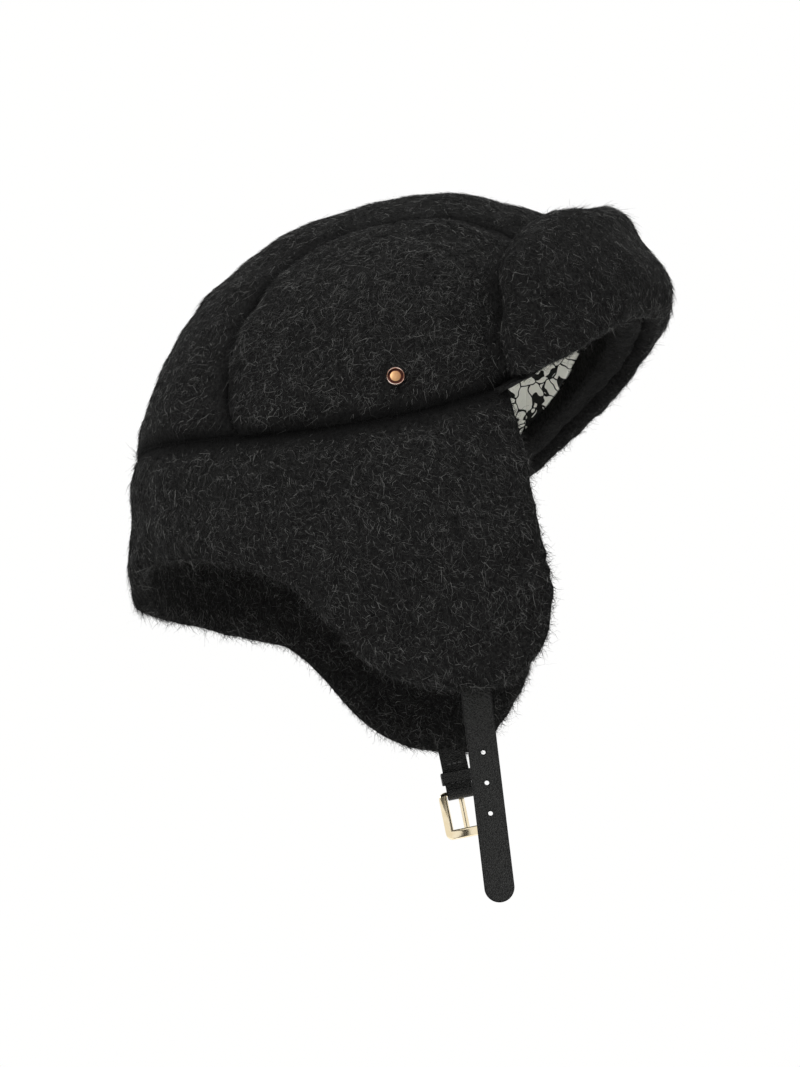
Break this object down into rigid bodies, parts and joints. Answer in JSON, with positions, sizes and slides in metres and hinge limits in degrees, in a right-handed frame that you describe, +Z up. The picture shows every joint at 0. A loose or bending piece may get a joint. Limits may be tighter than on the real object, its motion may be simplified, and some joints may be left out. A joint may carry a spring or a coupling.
{
  "type": "trapper hat",
  "caption": "Padded winter trapper hat in black brushed mohair with a turned-up front flap, ear flaps, printed lining and a buckled chin strap.",
  "frame": {"origin": "middle of the head opening, level with the crown seam at the back of the hat", "axes": "+Z up when worn, front of the hat towards -Y, the wearer's right towards -X"},
  "size_m": [0.2054, 0.2736, 0.3367],
  "materials": {
    "black_mohair": "brushed mohair and wool cloth with long loose fibres, matt",
    "wadding": "soft fibre wadding",
    "satin_lining": null,
    "black_leather": "pebbled, semi-matt, with sealed glossy edges",
    "pale_gold": "polished pale gold plate",
    "rose_gold": "polished rose gold plate"
  },
  "bodies": {
    "root": {"brow_facing": "black_mohair", "crown_centre_panel": "black_mohair", "crown_centre_wadding": "wadding", "crown_side_panel_left": "black_mohair", "crown_side_panel_right": "black_mohair", "crown_side_wadding_left": "wadding", "crown_side_wadding_right": "wadding", "lining_centre_panel": "satin_lining", "lining_side_panel_left": "satin_lining", "lining_side_panel_right": "satin_lining", "neck_band": "black_mohair", "neck_facing": "black_mohair", "neck_wadding": "wadding", "stud_back_left": "rose_gold", "stud_back_right": "rose_gold", "stud_cap_left": "rose_gold", "stud_cap_right": "rose_gold"},
    "front_flap": {"front_flap_facing": "black_mohair", "front_flap_shell": "black_mohair", "front_flap_wadding": "wadding"},
    "ear_flap_right": {"ear_flap_right_facing": "black_mohair", "ear_flap_right_shell": "black_mohair", "ear_flap_right_wadding": "wadding"},
    "ear_flap_left": {"ear_flap_left_facing": "black_mohair", "ear_flap_left_shell": "black_mohair", "ear_flap_left_wadding": "wadding"},
    "hole_strap": {"hole_strap": "black_leather"},
    "buckle_strap": {"buckle_strap": "black_leather", "keeper_loop": "black_leather"},
    "buckle_frame": {"buckle_frame": "pale_gold"},
    "buckle_prong": {"buckle_prong": "pale_gold"}
  },
  "joints": [
    {"name": "front_flap_fold", "type": "hinge", "parent": "root", "child": "front_flap", "pos_m": [0, -0.086, 0.002], "axis": [1, 0, 0], "range_deg": [0, 30]},
    {"name": "ear_flap_right_lift", "type": "hinge", "parent": "root", "child": "ear_flap_right", "pos_m": [-0.0985, 0.0075, -0.0604], "axis": [0, 0.9373, -0.3484], "range_deg": [0, 150]},
    {"name": "ear_flap_left_lift", "type": "hinge", "parent": "root", "child": "ear_flap_left", "pos_m": [0.0985, 0.0075, -0.0604], "axis": [0, -0.9373, 0.3484], "range_deg": [0, 150]},
    {"name": "hole_strap_swing", "type": "hinge", "parent": "ear_flap_right", "child": "hole_strap", "pos_m": [-0.084, -0.009, -0.148], "axis": [0, 1, 0], "range_deg": [-50, 50]},
    {"name": "buckle_strap_swing", "type": "hinge", "parent": "ear_flap_left", "child": "buckle_strap", "pos_m": [0.084, -0.003, -0.148], "axis": [0, -1, 0], "range_deg": [-45, 45]},
    {"name": "buckle_frame_pivot", "type": "hinge", "parent": "buckle_strap", "child": "buckle_frame", "pos_m": [0.084, -0.003, -0.1665], "axis": [0, -1, 0], "range_deg": [-75, 50]},
    {"name": "buckle_prong_pivot", "type": "hinge", "parent": "buckle_frame", "child": "buckle_prong", "pos_m": [0.084, -0.003, -0.1665], "axis": [0, -1, 0], "range_deg": [0, 45]}
  ]
}
